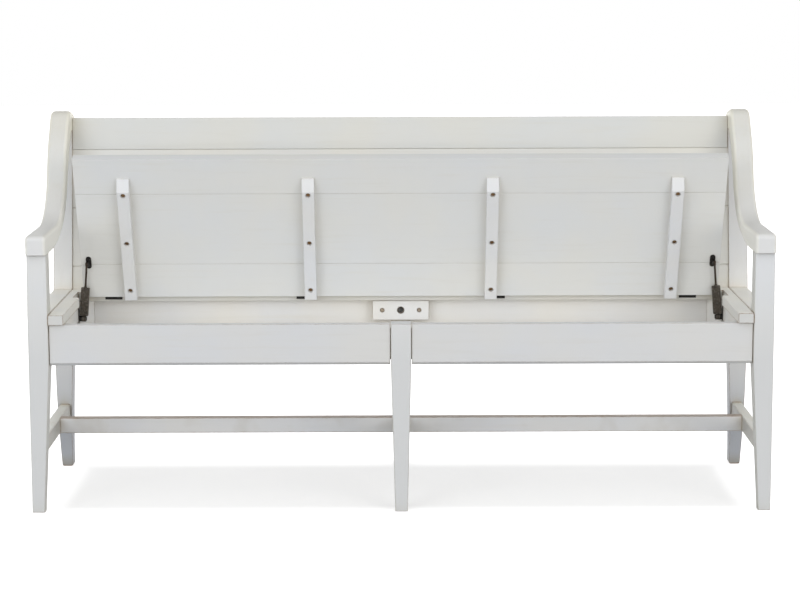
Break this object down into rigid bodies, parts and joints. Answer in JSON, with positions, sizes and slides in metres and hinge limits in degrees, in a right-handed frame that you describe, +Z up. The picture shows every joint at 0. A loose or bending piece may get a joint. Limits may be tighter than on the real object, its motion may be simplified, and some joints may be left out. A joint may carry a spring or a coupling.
{
  "type": "storage bench with back",
  "caption": "Long white-painted wooden bench with a plank back, swan-neck arms, tapered legs joined by stretchers, and a hinged seat lid propped open over a shallow storage well.",
  "frame": {"origin": "centre of the footprint, on the floor", "axes": "+X along the bench to the right as seen from the front, -Y towards the front, +Z up"},
  "size_m": [1.737, 0.55, 0.912],
  "materials": {
    "white_paint": "satin",
    "plain_wood": "matte",
    "black_hardware": "satin",
    "stay_rod": "satin",
    "bronze_screw": "satin"
  },
  "bodies": {
    "frame": {"arm_dowels": "plain_wood", "arm_left": "white_paint", "arm_right": "white_paint", "back_board_1": "white_paint", "back_board_2": "white_paint", "back_bottom_rail": "white_paint", "block_bolt": "bronze_screw", "block_screws": "bronze_screw", "centre_stretcher": "white_paint", "corner_blocks": "plain_wood", "crest_rail": "white_paint", "end_ledger_left": "white_paint", "end_ledger_right": "white_paint", "floor_bearer": "plain_wood", "floor_cleats": "plain_wood", "front_apron_left": "white_paint", "front_apron_right": "white_paint", "front_leg_centre": "white_paint", "front_leg_left": "white_paint", "front_leg_right": "white_paint", "hinge_pins": "black_hardware", "hinge_seat_leaves": "black_hardware", "leg_block": "white_paint", "long_stretcher_left": "white_paint", "long_stretcher_right": "white_paint", "rear_apron_left": "white_paint", "rear_apron_right": "white_paint", "rear_leg_centre": "white_paint", "rear_post_left": "white_paint", "rear_post_right": "white_paint", "rear_seat_board": "white_paint", "seat_end_strip_left": "white_paint", "seat_end_strip_right": "white_paint", "side_rail_left": "white_paint", "side_rail_right": "white_paint", "side_stretcher_left": "white_paint", "side_stretcher_right": "white_paint", "stay_wall_bracket_left": "black_hardware", "stay_wall_bracket_right": "black_hardware", "storage_floor_left": "plain_wood", "storage_floor_right": "plain_wood"},
    "lid": {"lid_batten_1": "white_paint", "lid_batten_2": "white_paint", "lid_batten_3": "white_paint", "lid_batten_4": "white_paint", "lid_board_front": "white_paint", "lid_board_middle": "white_paint", "lid_board_rear": "white_paint", "batten_screws": "bronze_screw", "hinge_lid_leaves": "black_hardware", "stay_lid_bracket_left": "black_hardware", "stay_lid_bracket_right": "black_hardware"},
    "stay_body_left": {"stay_body_left": "black_hardware"},
    "stay_body_right": {"stay_body_right": "black_hardware"},
    "stay_rod_left": {"stay_rod_left": "stay_rod"},
    "stay_rod_right": {"stay_rod_right": "stay_rod"}
  },
  "joints": [
    {"name": "lid_hinge", "type": "hinge", "parent": "frame", "child": "lid", "pos_m": [0, 0.1113, 0.471], "axis": [-1, 0, 0], "range_deg": [-65, 0]},
    {"name": "stay_left_pivot", "type": "hinge", "parent": "frame", "child": "stay_body_left", "pos_m": [-0.7875, 0.1083, 0.403], "axis": [-1, 0, 0], "range_deg": [-45.29, 0]},
    {"name": "stay_left_slide", "type": "slide", "parent": "stay_body_left", "child": "stay_rod_left", "axis": [0.1199, -0.442, 0.889], "range_m": [-0.05869, 0]},
    {"name": "stay_right_pivot", "type": "hinge", "parent": "frame", "child": "stay_body_right", "pos_m": [0.7875, 0.1083, 0.403], "axis": [-1, 0, 0], "range_deg": [-45.29, 0]},
    {"name": "stay_right_slide", "type": "slide", "parent": "stay_body_right", "child": "stay_rod_right", "axis": [-0.1199, -0.442, 0.889], "range_m": [-0.05869, 0]}
  ],
  "couplings": [
    {"joint": "stay_left_pivot", "follows": "lid_hinge", "ratio": 0.69594},
    {"joint": "stay_left_slide", "follows": "lid_hinge", "m_per_rad": 0.051646},
    {"joint": "stay_right_pivot", "follows": "lid_hinge", "ratio": 0.69594},
    {"joint": "stay_right_slide", "follows": "lid_hinge", "m_per_rad": 0.051646}
  ]
}
